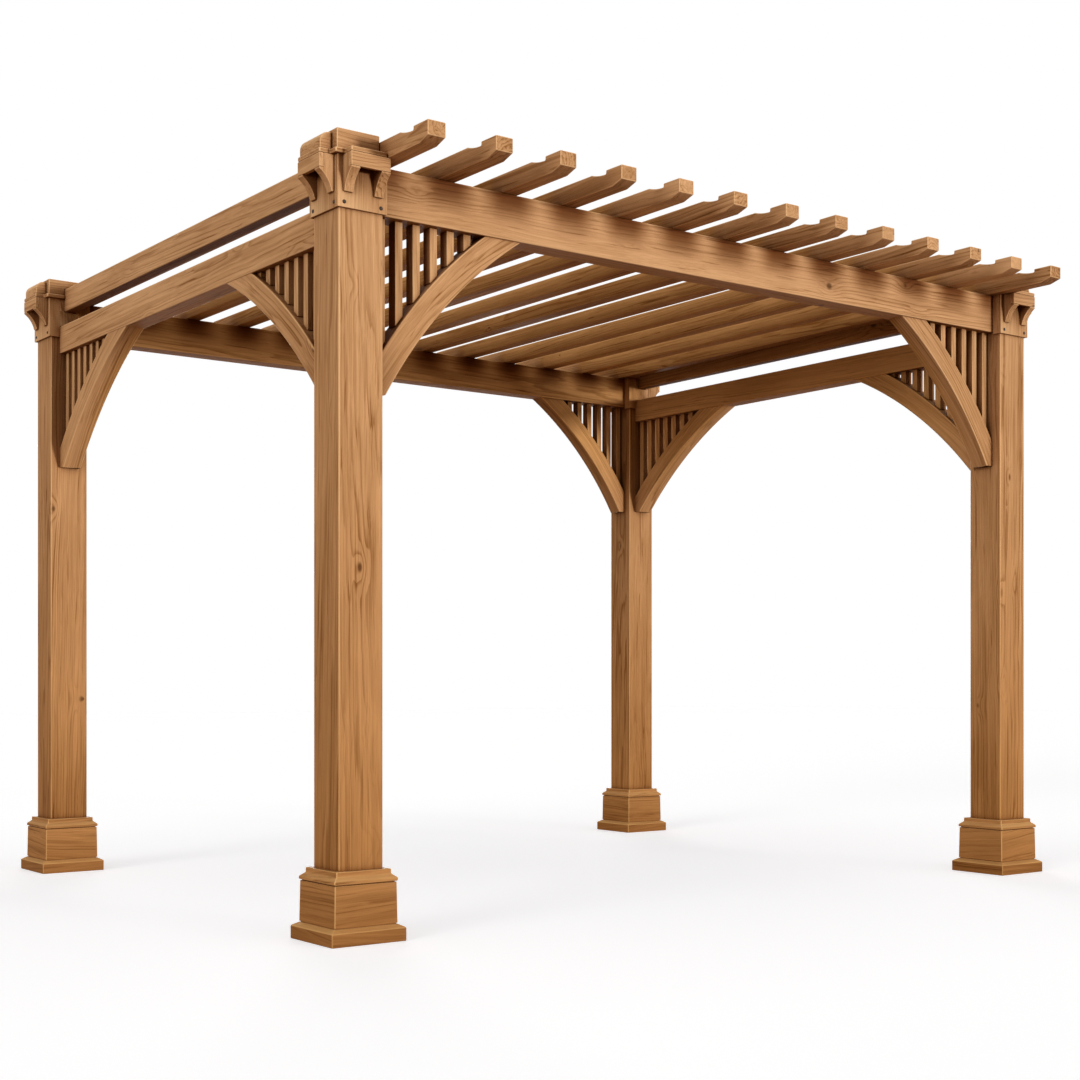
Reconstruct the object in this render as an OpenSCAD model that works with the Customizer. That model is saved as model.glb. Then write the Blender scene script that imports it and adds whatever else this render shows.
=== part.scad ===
// Wooden pergola: four posts on moulded bases, two long and two short beams,
// arched knee braces with slatted corners, bracketed capitals and a row of
// shaped rafters. Millimetres, Z up, origin on the ground at the middle of
// the plan, with the long front side facing -Y.

/* [Overall] */
// Distance between post centres along the long side
span_x = 3000; // [2200:10:4500]
// Distance between post centres along the short side
span_y = 2300; // [1900:10:3600]
// Height of the long beams' underside above the ground
headroom = 2150; // [1900:5:2600]
// Chamfer along the edges of posts, beams and cap blocks
edge_ease = 3; // [1:0.5:6]

/* [Posts] */
// Side of the square posts
post_side = 150; // [120:1:180]

/* [Bases] */
// Width of the plinth at the ground
plinth_w = 252; // [230:1:300]
// Height of the plinth's upright face
plinth_face_h = 40; // [25:1:60]
// Height of the bevel on top of the plinth
plinth_bevel_h = 10; // [5:1:20]
// Width of the die box where it stands on the plinth
die_w = 214; // [200:1:226]
// How much narrower the die box is at its top
die_taper = 4; // [0:1:8]
// Height of the die box
die_h = 124; // [80:1:200]
// Depth of the shadow groove between die box and lip
groove_d = 4; // [2:1:6]
// Height of the shadow groove
groove_h = 3; // [2:1:5]
// How far the lip stands proud of the die box's top
lip_proud = 3; // [1:1:5]
// Height of the lip's upright edge
lip_h = 12; // [8:1:16]
// Height of the hollow moulding between lip and neck
cove_h = 12; // [6:1:14]
// Radius of the hollow moulding
cove_r = 16; // [14:1:40]
// Width of the neck round the post
neck_w = 186; // [176:1:190]
// Height of the neck
neck_h = 12; // [8:1:30]

/* [Beams] */
// Thickness of the two long beams
long_beam_t = 90; // [60:1:110]
// Height of the two long beams
long_beam_h = 145; // [125:1:200]
// Thickness of the two short beams
short_beam_t = 80; // [50:1:110]
// Height of the two short beams
short_beam_h = 108; // [90:1:120]
// How far the short beams' tops lie below the long beams' tops
short_beam_set = 110; // [80:1:125]
// Thickness of the rails over the short beams
rail_t = 46; // [36:1:70]
// Height of the rails
rail_h = 90; // [70:1:95]
// How far the rails' tops rise above the long beams' tops
rail_rise = 40; // [35:1:50]

/* [Capitals] */
// Wall thickness of the collar boards round the post
collar_t = 9; // [6:1:14]
// How far the collar hangs below the long beams
collar_drop = 8; // [0:1:20]
// Clearance round a beam where it enters the collar
pocket_gap = 1; // [0.5:0.5:3]
// How far the shelf stands out beyond the collar
shelf_proud = 14; // [8:1:18]
// Thickness of the shelf
shelf_t = 14; // [10:1:20]
// Radius on the shelf's upper edges
shelf_r = 5; // [2:1:8]
// Side of the cap block
cap_side = 176; // [160:1:184]
// Height of the cap block above the shelf
cap_h = 60; // [50:1:90]
// Width of the nose on the cap and of the brackets below
nose_w = 132; // [110:1:150]
// How far nose and brackets stand out from the collar
nose_reach = 50; // [36:1:60]
// Radius on the nose's upper outer edge
nose_r = 30; // [15:1:40]
// How far the nose's top lies below the block's top
nose_drop = 10; // [4:1:20]
// Width of each corbel of a bracket
corbel_w = 30; // [20:1:38]
// Height of a bracket
corbel_h = 108; // [90:1:125]
// Thickness of a corbel at its lower tip
corbel_tip = 9; // [5:1:14]
// Radius of the corbels' hollow front
corbel_r = 95; // [70:1:160]
// Height of the fascia across a pair of corbels
fascia_h = 42; // [30:1:55]
// Thickness of the fascia
fascia_t = 16; // [10:1:22]
// How far the corbels' upright fronts run on below the fascia
corbel_lip = 5; // [3:1:10]

/* [Braces] */
// Thickness of the knee braces
brace_t = 74; // [40:1:78]
// Width of the curved band
brace_band = 80; // [60:1:100]
// Height of the braces' feet above the ground
brace_foot_z = 1620; // [1400:5:1700]
// Length of the flat cut under each foot
brace_foot = 34; // [20:1:50]
// How far the long-side braces reach along the beam
brace_reach_x = 530; // [440:5:650]
// How far the short-side braces reach along the beam
brace_reach_y = 660; // [440:5:700]
// Rise of the braces' arc over its chord
brace_rise = 42; // [20:1:60]
// Width of the slats in the corners
slat_w = 27; // [18:1:34]
// Depth of the slats
slat_d = 38; // [20:1:48]
// Distance between slats, from face to like face
slat_pitch = 62; // [50:1:80]
// Gap between the post and the first slat
slat_first = 14; // [12:1:30]

/* [Rafters] */
// Number of rafters
rafter_count = 13; // [7:1:15]
// Width of a rafter
rafter_w = 61; // [40:1:66]
// Height of a rafter
rafter_h = 58; // [50:1:85]
// Distance from the end rafters' middles to the post centres
rafter_set = 88; // [80:1:100]
// How far the tails reach beyond the post centres
tail_reach = 346; // [260:2:420]
// Height of a tail's end face
tail_end_h = 44; // [30:1:50]
// Length of the sloping cut under a tail's end
tail_cut = 46; // [20:1:50]
// Length of the raised block at a tail's end
tail_block = 78; // [50:1:100]
// Length of the hollow behind the block
tail_hollow = 72; // [50:1:90]
// Depth of the step behind the block
tail_step = 12; // [8:1:16]
// Clearance between an end rafter and the cap beside it
rafter_gap = 2; // [1:0.5:4]

/* [Hidden] */
$fn = 96;
arc_fn = 1440;
eps = 1;
post_half = post_side / 2;
beam_top = headroom + long_beam_h;
short_top = beam_top - short_beam_set;
short_bottom = short_top - short_beam_h;
rail_top = beam_top + rail_rise;
rail_bottom = rail_top - rail_h;
bevel_top = plinth_face_h + plinth_bevel_h;
die_top = bevel_top + die_h;
lip_bottom = die_top + groove_h;
lip_top = lip_bottom + lip_h;
cove_top = lip_top + cove_h;
neck_top = cove_top + neck_h;
die_half = die_w / 2;
die_top_half = die_half - die_taper / 2;
lip_half = die_top_half + lip_proud;
neck_half = neck_w / 2;
collar_half = post_half + collar_t;
collar_z = headroom - collar_drop;
shelf_half = collar_half + shelf_proud;
cap_top = beam_top + shelf_t + cap_h;
nose_top = cap_top - nose_drop;
cap_inner = rafter_set - rafter_w / 2 - rafter_gap;
rafter_pitch = (span_x - 2 * rafter_set) / (rafter_count - 1);
rafter_half = span_y / 2 + tail_reach;

// Corner names with the sides that face outwards, and whether a brace stands under the long beam
corners = [
    ["front_left", -1, -1, true], ["front_right", 1, -1, true],
    ["rear_left", -1, 1, false], ["rear_right", 1, 1, true]
];
rafter_names = [for (i = [1:rafter_count]) str("rafter_", i < 10 ? "0" : "", i)];
corner_kinds = ["post", "base", "collar", "brackets", "cap", "braces", "slats"];

post_wood = "#b07a48";
trim_wood = "#a8713f";
beam_wood = "#ab7644";
brace_wood = "#b5804c";
slat_wood = "#a06c3c";
rafter_wood = "#a9744a";

// Centre of the circle of radius r through p and q, on the right of p to q
function arc_centre(p, q, r) =
    let (d = q - p, c = norm(d), h = sqrt(r * r - c * c / 4))
    (p + q) / 2 + [d[1], -d[0]] * h / c;

// Point at distance r from c whose height over c is dz, on the side of -u
function arc_u(c, r, z) = c[0] - sqrt(r * r - (z - c[1]) * (z - c[1]));

// Puts a corner drawn with its outer sides facing -X and -Y in its place
module at_corner(c) {
    translate([c[1] * span_x / 2, c[2] * span_y / 2, 0])
        mirror([c[1] > 0 ? 1 : 0, 0, 0])
            mirror([0, c[2] > 0 ? 1 : 0, 0])
                children();
}

// Stands a profile drawn in X and Z across Y, centred on Y
module across_y(w) {
    translate([0, w / 2, 0]) rotate([90, 0, 0]) linear_extrude(w) children();
}

// Stands a profile drawn in Y and Z across X, centred on X
module across_x(w) {
    translate([-w / 2, 0, 0]) rotate([90, 0, 90]) linear_extrude(w) children();
}

// Swaps X and Y, so that a short side repeats a long side's shape
module swap_xy() {
    mirror([1, -1, 0]) children();
}

// Square with eased corners, centred
module eased(w, h) {
    polygon([for (s = [[1, 1], [-1, 1], [-1, -1], [1, -1]], k = [0, 1])
        let (first = (s[0] * s[1] > 0) ? k == 0 : k == 1)
        [s[0] * (w / 2 - (first ? 0 : edge_ease)), s[1] * (h / 2 - (first ? edge_ease : 0))]]);
}

module post(c) {
    color(post_wood) at_corner(c) linear_extrude(beam_top) eased(post_side, post_side);
}

// Outline of the base from the ground up
module base_outline() {
    difference() {
        polygon([
            [-plinth_w / 2, 0], [-plinth_w / 2, plinth_face_h], [-die_half, bevel_top],
            [-die_top_half, die_top], [-die_top_half + groove_d, die_top],
            [-die_top_half + groove_d, lip_bottom], [-lip_half, lip_bottom], [-lip_half, lip_top],
            [-neck_half, cove_top], [-neck_half, neck_top],
            [neck_half, neck_top], [neck_half, cove_top],
            [lip_half, lip_top], [lip_half, lip_bottom], [die_top_half - groove_d, lip_bottom],
            [die_top_half - groove_d, die_top], [die_top_half, die_top],
            [die_half, bevel_top], [plinth_w / 2, plinth_face_h], [plinth_w / 2, 0]
        ]);
        // the hollow is a shallow arc from the neck's foot to the lip's edge
        for (s = [0, 1]) mirror([s, 0])
            translate(arc_centre([-neck_half, cove_top], [-lip_half, lip_top], cove_r)) circle(cove_r);
    }
}

module base(c) {
    color(trim_wood) at_corner(c) difference() {
        intersection() {
            across_y(plinth_w) base_outline();
            across_x(plinth_w) base_outline();
        }
        translate([0, 0, -eps]) linear_extrude(neck_top + 2 * eps) eased(post_side, post_side);
    }
}

module long_beam_section() {
    translate([0, headroom + long_beam_h / 2]) eased(long_beam_t, long_beam_h);
}

module short_beam_section() {
    translate([0, short_top - short_beam_h / 2]) eased(short_beam_t, short_beam_h);
}

module long_beam(side) {
    color(beam_wood) translate([0, side * span_y / 2, 0])
        across_x(span_x - post_side) long_beam_section();
}

module short_beam(side) {
    color(beam_wood) translate([side * span_x / 2, 0, 0])
        across_y(span_y - post_side) short_beam_section();
}

// Rail between two capitals, over a short beam
module rail(side) {
    color(beam_wood) translate([side * span_x / 2, 0, rail_bottom + rail_h / 2])
        across_y(span_y - post_side) eased(rail_t, rail_h);
}

// Room for the rail's end, from the post's face inwards
module rail_pocket() {
    w = rail_t + 2 * pocket_gap;
    translate([-w / 2, post_half, rail_bottom - pocket_gap])
        cube([w, shelf_half, rail_h + 2 * pocket_gap]);
}

// Collar boards round the post's head, let out for the two beams and the rail
module collar(c) {
    long_w = long_beam_t + 2 * pocket_gap;
    short_w = short_beam_t + 2 * pocket_gap;
    color(trim_wood) at_corner(c) difference() {
        translate([-collar_half, -collar_half, collar_z])
            cube([2 * collar_half, 2 * collar_half, beam_top - collar_z]);
        translate([0, 0, -eps]) linear_extrude(beam_top + 2 * eps) eased(post_side, post_side);
        translate([0, -long_w / 2, headroom - pocket_gap])
            cube([collar_half + eps, long_w, beam_top]);
        translate([-short_w / 2, 0, short_bottom - pocket_gap])
            cube([short_w, collar_half + eps, short_beam_h + 2 * pocket_gap]);
        rail_pocket();
    }
}

// Side of one corbel: outwards is -X, the shelf's underside is Z = 0
module corbel_side() {
    outer = [-nose_reach, -fascia_h - corbel_lip];
    tip = [-corbel_tip, -corbel_h];
    difference() {
        translate([-nose_reach, -corbel_h]) square([nose_reach, corbel_h]);
        translate(arc_centre(outer, tip, corbel_r)) circle(corbel_r);
    }
}

// Pair of corbels with a fascia across their heads, on the collar's -X side
module bracket() {
    translate([-collar_half, 0, beam_top]) {
        for (s = [-1, 1])
            translate([0, s * (nose_w - corbel_w) / 2, 0]) across_y(corbel_w) corbel_side();
        translate([-nose_reach, -nose_w / 2, -fascia_h]) cube([fascia_t, nose_w, fascia_h]);
    }
}

module brackets(c) {
    color(trim_wood) at_corner(c) {
        bracket();
        swap_xy() bracket();
    }
}

// Outline of the shelf's plate with rounded upper edges
module shelf_outline() {
    difference() {
        translate([-shelf_half, beam_top]) square([2 * shelf_half, shelf_t]);
        for (s = [-1, 1]) difference() {
            translate([s * shelf_half - shelf_r, beam_top + shelf_t - shelf_r])
                square([2 * shelf_r, 2 * shelf_r]);
            translate([s * (shelf_half - shelf_r), beam_top + shelf_t - shelf_r]) circle(shelf_r);
        }
    }
}

// Nose over the short side's bracket, with its upper outer edge rounded
module nose_outline() {
    tip = collar_half + nose_reach;
    difference() {
        translate([-tip, beam_top]) square([tip, nose_top - beam_top]);
        difference() {
            translate([-tip - eps, nose_top - nose_r]) square([nose_r + eps, nose_r + eps]);
            translate([-tip + nose_r, nose_top - nose_r]) circle(nose_r);
        }
    }
}

// Shelf, block and nose, cut back beside the end rafter and let out for the rail;
// the shelf runs out over the long side's bracket
module cap(c) {
    tip = collar_half + nose_reach;
    color(trim_wood) at_corner(c) difference() {
        union() {
            intersection() {
                across_y(2 * shelf_half) shelf_outline();
                across_x(2 * shelf_half) shelf_outline();
            }
            translate([0, 0, beam_top]) linear_extrude(cap_top - beam_top) eased(cap_side, cap_side);
            across_y(nose_w) nose_outline();
            translate([-nose_w / 2, -tip, beam_top]) cube([nose_w, tip, shelf_t]);
        }
        translate([cap_inner, -tip - eps, beam_top - eps])
            cube([shelf_half, tip + shelf_half + 2 * eps, cap_top]);
        rail_pocket();
    }
}

// Centre of a brace's arcs: u runs along the beam from the post, z down from the beam
function brace_chord(reach, drop) = norm([reach - brace_foot, drop]);
function brace_r(reach, drop) =
    let (c = brace_chord(reach, drop)) c * c / (8 * brace_rise) + brace_rise / 2;
function brace_centre(reach, drop) =
    arc_centre([brace_foot, -drop], [reach, 0], brace_r(reach, drop));

module brace_band_2d(reach, drop) {
    r = brace_r(reach, drop);
    intersection() {
        translate([0, -drop]) square([reach, drop]);
        translate(brace_centre(reach, drop)) difference() {
            circle(r + brace_band, $fn = arc_fn);
            circle(r, $fn = arc_fn);
        }
    }
}

// Slats stand between the beam and the back of the brace's band
module slats_2d(reach, drop) {
    r = brace_r(reach, drop) + brace_band;
    c = brace_centre(reach, drop);
    last = arc_u(c, r, 0) - slat_w;
    difference() {
        for (u = [slat_first:slat_pitch:last])
            translate([u, -drop]) square([slat_w, drop]);
        translate(c) circle(r, $fn = arc_fn);
    }
}

// Places a corner's brace planes: along the long beam where c says so, and along the short one
module brace_planes(c, t) {
    if (c[3]) translate([post_half, 0, headroom]) across_y(t) children(0);
    translate([0, post_half, short_bottom]) across_x(t) children(1);
}

module braces(c) {
    color(brace_wood) at_corner(c) brace_planes(c, brace_t) {
        brace_band_2d(brace_reach_x, headroom - brace_foot_z);
        brace_band_2d(brace_reach_y, short_bottom - brace_foot_z);
    }
}

module slats(c) {
    color(slat_wood) at_corner(c) brace_planes(c, slat_d) {
        slats_2d(brace_reach_x, headroom - brace_foot_z);
        slats_2d(brace_reach_y, short_bottom - brace_foot_z);
    }
}

// One end of a rafter, cut away: the end of the tail is Y = 0, inwards is +Y
module tail_cuts() {
    hollow_r = (tail_hollow * tail_hollow + tail_step * tail_step) / (2 * tail_step);
    polygon([[-eps, -eps], [tail_cut, -eps], [tail_cut, 0], [0, rafter_h - tail_end_h],
        [-eps, rafter_h - tail_end_h]]);
    intersection() {
        translate([tail_block, rafter_h - tail_step]) square([tail_hollow, tail_step + eps]);
        translate([tail_block, rafter_h - tail_step + hollow_r]) circle(hollow_r, $fn = arc_fn);
    }
}

module rafter(i) {
    color(rafter_wood)
        translate([-span_x / 2 + rafter_set + (i - 1) * rafter_pitch, 0, beam_top])
            across_x(rafter_w) difference() {
                translate([-rafter_half, 0]) square([2 * rafter_half, rafter_h]);
                for (s = [0, 1]) mirror([s, 0]) translate([-rafter_half, 0]) tail_cuts();
            }
}

for (c = corners) {
    post(c);
    base(c);
    collar(c);
    brackets(c);
    cap(c);
    braces(c);
    slats(c);
}
long_beam(-1);  // front_beam
long_beam(1);  // rear_beam
short_beam(-1);  // left_beam
short_beam(1);  // right_beam
rail(-1);  // left_rail
rail(1);  // right_rail
for (i = [1:rafter_count])
    rafter(i);
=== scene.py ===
import bpy
import math
import numpy as np
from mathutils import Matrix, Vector


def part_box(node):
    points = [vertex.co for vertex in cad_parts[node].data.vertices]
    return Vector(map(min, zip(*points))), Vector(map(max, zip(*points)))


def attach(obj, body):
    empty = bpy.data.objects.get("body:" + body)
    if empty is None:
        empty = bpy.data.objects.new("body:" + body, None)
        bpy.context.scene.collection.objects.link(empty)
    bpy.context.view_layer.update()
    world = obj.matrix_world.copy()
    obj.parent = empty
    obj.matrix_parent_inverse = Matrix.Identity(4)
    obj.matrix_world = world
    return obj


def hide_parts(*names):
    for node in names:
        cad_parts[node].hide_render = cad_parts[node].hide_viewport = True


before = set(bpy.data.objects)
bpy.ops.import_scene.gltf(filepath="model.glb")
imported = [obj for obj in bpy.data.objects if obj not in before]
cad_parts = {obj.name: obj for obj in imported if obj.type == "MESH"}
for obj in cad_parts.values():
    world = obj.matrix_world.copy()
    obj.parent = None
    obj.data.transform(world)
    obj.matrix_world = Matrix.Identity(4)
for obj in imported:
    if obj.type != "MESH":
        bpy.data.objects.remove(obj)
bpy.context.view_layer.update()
rng = np.random.default_rng(23)
print("frame loaded:", len(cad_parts), "nodes")

# Signs of the sides that face outwards at each corner
corners = {"front_left": (-1, -1), "front_right": (1, -1), "rear_left": (-1, 1), "rear_right": (1, 1)}
xAxis, yAxis, zAxis = np.eye(3)


# Outlines and shells

# a rubbed rim shows wear and a painted highlight
seamRim = 0.0005  # a rim no wider than this is a seam, and isn't rubbed
cornerShare = 1.3  # a board's long corners are rounder than its rims by this


def unit(v):
    return v / np.linalg.norm(v, axis=-1, keepdims=True)


def easeOutline(points, radius, steps=3, sharp=25):
    # every corner of a closed counter-clockwise outline that turns by more than sharp degrees
    # becomes an arc tangent to both sides; gives points, outward normals and an arris weight
    points = np.asarray(points, float)
    radius = np.broadcast_to(np.asarray(radius, float), len(points))
    before = unit(points - np.roll(points, 1, 0))
    after = unit(np.roll(points, -1, 0) - points)
    cross = before[:, 0] * after[:, 1] - before[:, 1] * after[:, 0]
    turn = np.arctan2(cross, (before * after).sum(1))
    bend = np.sign(turn) * radius
    outBefore = np.stack([before[:, 1], -before[:, 0]], 1)
    outAfter = np.stack([after[:, 1], -after[:, 0]], 1)
    start = points - before * (radius * np.tan(np.abs(turn) / 2))[:, None]
    centre = start - outBefore * bend[:, None]
    share = np.linspace(0, 1, steps + 1)
    angle = (turn[:, None] * share)[..., None]
    normals = outBefore[:, None] * np.cos(angle) + before[:, None] * np.sin(angle)
    arcs = centre[:, None] + normals * bend[:, None, None]
    rounded = np.abs(turn) > math.radians(sharp)
    arris = np.sin(np.pi * share) * (rounded & (turn > 0))[:, None]
    keep = np.repeat(rounded[:, None], steps + 1, 1)
    keep[:, 0] = True  # a gentle bend keeps its one point
    arcs[~rounded, 0] = points[~rounded]
    normals[~rounded, 0] = unit(outBefore + outAfter)[~rounded]
    return arcs[keep], normals[keep], arris[keep]


def rectOutline(width, height, centre=(0, 0)):
    half = np.array([width, height]) / 2
    return np.array([(-1, -1), (1, -1), (1, 1), (-1, 1)]) * half + centre


def arcPoints(start, end, radius, count):
    # points on the circle through start and end whose centre is on the right of the way
    start, end = np.array(start, float), np.array(end, float)
    way = end - start
    chord = np.linalg.norm(way)
    side = np.array([way[1], -way[0]]) / chord
    centre = (start + end) / 2 + side * math.sqrt(radius ** 2 - chord ** 2 / 4)
    a, b = (math.atan2(p[1] - centre[1], p[0] - centre[0]) for p in (start, end))
    b += 2 * math.pi * round((a - b) / (2 * math.pi))
    angle = np.linspace(a, b, count)
    return centre + radius * np.stack([np.cos(angle), np.sin(angle)], 1)


def ringQuads(rings, count):
    # quads between each ring of points and the next, closed round the ring
    j, i = np.meshgrid(np.arange(rings - 1), np.arange(count), indexing="ij")
    k = (i + 1) % count
    low, high = j * count, (j + 1) * count
    return np.stack([low + i, low + k, high + k, high + i], -1).reshape(-1, 4)


def plankShell(outline, low, high, rim, cornerR=None, steps=3, rimLow=None):
    # the outline lies in (a, b) and climbs along c from low to high; at both ends it draws in by
    # rim * (1 - sin t) while it climbs rim * (1 - cos t), which rounds the two rims
    cornerR = rim * cornerShare if cornerR is None else cornerR
    points, outward, corner = easeOutline(outline, cornerR, steps)
    t = np.linspace(0, np.pi / 2, steps + 1)
    t = np.r_[t, t[::-1]]
    ends = np.repeat([rim if rimLow is None else rimLow, rim], steps + 1)
    way = np.repeat([1, -1], steps + 1)
    climb = np.where(way > 0, low, high) + way * ends * (1 - np.cos(t))
    rings, count = len(climb), len(points)
    verts = np.empty((rings, count, 3))
    verts[..., :2] = points - (ends * (1 - np.sin(t)))[:, None, None] * outward
    verts[..., 2] = climb[:, None]
    normals = np.empty_like(verts)
    normals[..., :2] = np.sin(t)[:, None, None] * outward
    normals[..., 2] = (-way * np.cos(t))[:, None]
    arris = np.maximum((np.sin(2 * t) * (ends > seamRim))[:, None], corner)
    ring = np.arange(count)
    return dict(verts=verts.reshape(-1, 3), normals=normals.reshape(-1, 3), arris=arris.ravel(),
                quads=ringQuads(rings, count), caps=[ring[::-1], ring + (rings - 1) * count])


# Boards and pieces

logs = dict(along=(3, 90), pith=(0.02, 0.10), lean=(0.006, 0.03))


def cutFrom():
    # where in a log a board is cut: how far along, where the pith lies, and how it leans
    pith = rng.uniform(*logs["pith"], 2) * rng.choice([-1, 1], 2)
    lean = rng.uniform(*logs["lean"], 2) * rng.choice([-1, 1], 2)
    return dict(along=rng.uniform(*logs["along"]), pith=pith, lean=lean)


def logPlace(grain, cut):
    # a board's own (along, across, across) becomes a place in the log round its pith
    grain = np.asarray(grain, float)
    across = grain[..., 1:] + cut["pith"] + cut["lean"] * grain[..., :1]
    return np.concatenate([grain[..., :1] + cut["along"], across], -1)


def faceCorners(board):
    return np.concatenate([board["quads"].ravel(), *board["caps"]]).astype(int)


def placeBoard(shell, axes, origin, grainOrder, cut=None):
    # rows of axes are the directions of a, b and c, and grainOrder puts the one along the grain first
    axes = np.asarray(axes, float)
    board = dict(shell)
    board["verts"] = np.asarray(origin, float) + shell["verts"] @ axes
    board["normals"] = shell["normals"] @ axes
    if np.linalg.det(axes) < 0:
        board["quads"] = shell["quads"][:, ::-1]
        board["caps"] = [cap[::-1] for cap in shell["caps"]]
    grain = shell["grain"] if "grain" in shell else shell["verts"][:, grainOrder]
    corner = faceCorners(board)
    board["grain"] = logPlace(grain, cut or cutFrom())[corner]
    board["tint"] = np.full(len(corner), rng.random())
    return board


def joinBoards(name, boards, material, nodes=()):
    # boards become one mesh, with their place in the log, tint and arrises (rubbed: wear and a painted
    # highlight) as attributes
    first = np.cumsum([0] + [len(b["verts"]) for b in boards])
    faces = [face + start for b, start in zip(boards, first) for face in [*b["quads"], *b["caps"]]]
    mesh = bpy.data.meshes.new(name)
    mesh.from_pydata(np.concatenate([b["verts"] for b in boards]), [], [face.tolist() for face in faces])
    mesh.polygons.foreach_set("use_smooth", np.ones(len(faces), bool))
    layers = (("grain", "FLOAT_VECTOR", "CORNER", "vector"), ("tint", "FLOAT", "CORNER", "value"),
              ("arris", "FLOAT", "POINT", "value"))
    for label, kind, domain, field in layers:
        values = np.concatenate([b[label] for b in boards]).astype(np.float32)
        mesh.attributes.new(label, kind, domain).data.foreach_set(field, values.ravel())
    mesh.normals_split_custom_set_from_vertices(unit(np.concatenate([b["normals"] for b in boards])))
    mesh.materials.append(material)
    piece = bpy.data.objects.new(name, mesh)
    bpy.context.scene.collection.objects.link(piece)
    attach(piece, "root")
    if nodes:
        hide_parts(*nodes)
    return piece


# Shader helpers

black, white = (0, 0, 0, 1), (1, 1, 1, 1)


def addNode(tree, kind, **settings):
    node = tree.nodes.new(kind)
    for key, value in settings.items():
        setattr(node, key, value)
    return node


def feed(tree, socket, value):
    if isinstance(value, bpy.types.NodeSocket):
        tree.links.new(value, socket)
    else:
        socket.default_value = value


def calc(tree, operation, *values):
    node = addNode(tree, "ShaderNodeMath", operation=operation)
    for socket, value in zip(node.inputs, values):
        feed(tree, socket, value)
    return node.outputs[0]


def total(tree, first, *others):
    for value in others:
        first = calc(tree, "ADD", first, value)
    return first


def times(tree, first, *others):
    for value in others:
        first = calc(tree, "MULTIPLY", first, value)
    return first


def lengthOf(tree, *parts):
    return calc(tree, "SQRT", total(tree, *(times(tree, part, part) for part in parts)))


def vecCalc(tree, operation, *values):
    node = addNode(tree, "ShaderNodeVectorMath", operation=operation)
    for socket, value in zip(node.inputs, values):
        feed(tree, socket, value)
    return node.outputs["Vector"]


def split(tree, vector):
    node = addNode(tree, "ShaderNodeSeparateXYZ")
    feed(tree, node.inputs[0], vector)
    return node.outputs


def ease(tree, value, low, high, toLow=0.0, toHigh=1.0):
    node = addNode(tree, "ShaderNodeMapRange", interpolation_type="SMOOTHSTEP")
    for socket, given in zip(node.inputs, (value, low, high, toLow, toHigh)):
        feed(tree, socket, given)
    return node.outputs[0]


def clamp(tree, value):
    node = addNode(tree, "ShaderNodeClamp")
    feed(tree, node.inputs[0], value)
    return node.outputs[0]


def mixColour(tree, factor, a, b):
    node = addNode(tree, "ShaderNodeMix", data_type="RGBA")
    for index, value in ((0, factor), (6, a), (7, b)):
        feed(tree, node.inputs[index], value)
    return node.outputs[2]


def longNoise(tree, vector, stretch, detail=2.0, roughness=0.5):
    # noise with features of 1 / stretch metres along each axis
    node = addNode(tree, "ShaderNodeTexNoise")
    feed(tree, node.inputs["Vector"], vecCalc(tree, "MULTIPLY", vector, stretch))
    for label, value in (("Scale", 1.0), ("Detail", detail), ("Roughness", roughness)):
        feed(tree, node.inputs[label], value)
    return node.outputs


def newGroup(name, inputs, outputs):
    tree = bpy.data.node_groups.new(name, "ShaderNodeTree")
    for label, kind, value in inputs:
        socket = tree.interface.new_socket(label, in_out="INPUT", socket_type="NodeSocket" + kind)
        if value is not None:
            socket.default_value = value
    for label, kind in outputs:
        tree.interface.new_socket(label, in_out="OUTPUT", socket_type="NodeSocket" + kind)
    given = addNode(tree, "NodeGroupInput").outputs
    made = addNode(tree, "NodeGroupOutput").inputs
    return tree, given, made


def useGroup(tree, group, **values):
    node = addNode(tree, "ShaderNodeGroup", node_tree=group)
    for label, value in values.items():
        feed(tree, node.inputs[label], value)
    return node.outputs


# Timber, stain, painted shade and steel

figureParts = ("Rings", "Streak", "Vein", "Fibre", "Knot", "Cloud")

# how many features a metre each noise has along and across the log
noises = dict(sway=dict(stretch=(1.3, 6.0, 6.0), detail=3.0, roughness=0.55),
              uneven=dict(stretch=(0.5, 30.0, 30.0)), patch=dict(stretch=(0.9, 14.0, 14.0), detail=1.0),
              streak=dict(stretch=(0.9, 75.0, 75.0), detail=4.0, roughness=0.65),
              vein=dict(stretch=(1.1, 125.0, 125.0), detail=2.0, roughness=0.55),
              fibre=dict(stretch=(6.0, 430.0, 430.0), detail=3.0, roughness=0.65),
              cloud=dict(stretch=(1.8, 5.0, 5.0)))
# a pair is where an effect starts and where it is full
timberLook = dict(sway=0.035, knotsAlong=2.3, knotsRound=1.1, knotsDeep=12.0, knotLong=0.45, knotDeep=0.5,
                  knotChance=(0.15, 0.95), knotFromPith=(0.012, 0.035), knotCore=0.35, knotEdge=0.0005,
                  swell=3.0, swellReach=2.6, swellEdge=0.001, uneven=3.0, lateFrom=(0.45, 0.9),
                  lateTo=(0.92, 1.0), patch=(0.38, 0.65), patchLeast=0.1, vein=(0.61, 0.70))


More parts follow.
